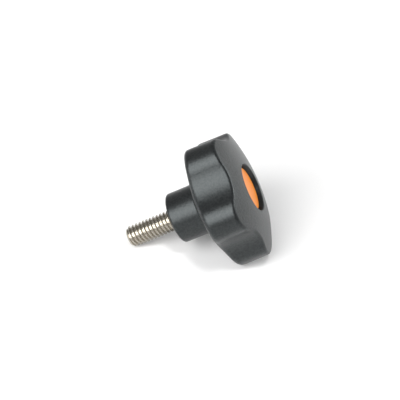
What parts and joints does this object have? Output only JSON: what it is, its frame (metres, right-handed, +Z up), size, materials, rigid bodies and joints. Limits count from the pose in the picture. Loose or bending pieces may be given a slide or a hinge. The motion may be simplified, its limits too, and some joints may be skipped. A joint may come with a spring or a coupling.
{
  "type": "tie down knob",
  "caption": "Lobed hand knob with a round hub, a moulded-in threaded stud and a coloured snap-in cap, for clamping a tie-down or fixture by hand.",
  "frame": {"origin": "centre of the bounding box on the ground, with the knob lying as it comes to rest on two lobes and the stud's tip", "axes": "+Z up; the knob's axis lies in the XZ plane and rises about 27 degrees towards +X, from the stud's tip to the cap; the XZ plane is a plane of symmetry"},
  "size_m": [0.053, 0.0482, 0.0461],
  "materials": {
    "knob_plastic": "black glass-filled polyamide with a fine sparked grain",
    "stud_steel": "rolled bright steel thread",
    "cap_plastic": "orange moulded plastic, fine grain"
  },
  "bodies": {
    "root": {"knob_body": "knob_plastic", "threaded_stud": "stud_steel", "cap": "cap_plastic"}
  },
  "joints": []
}
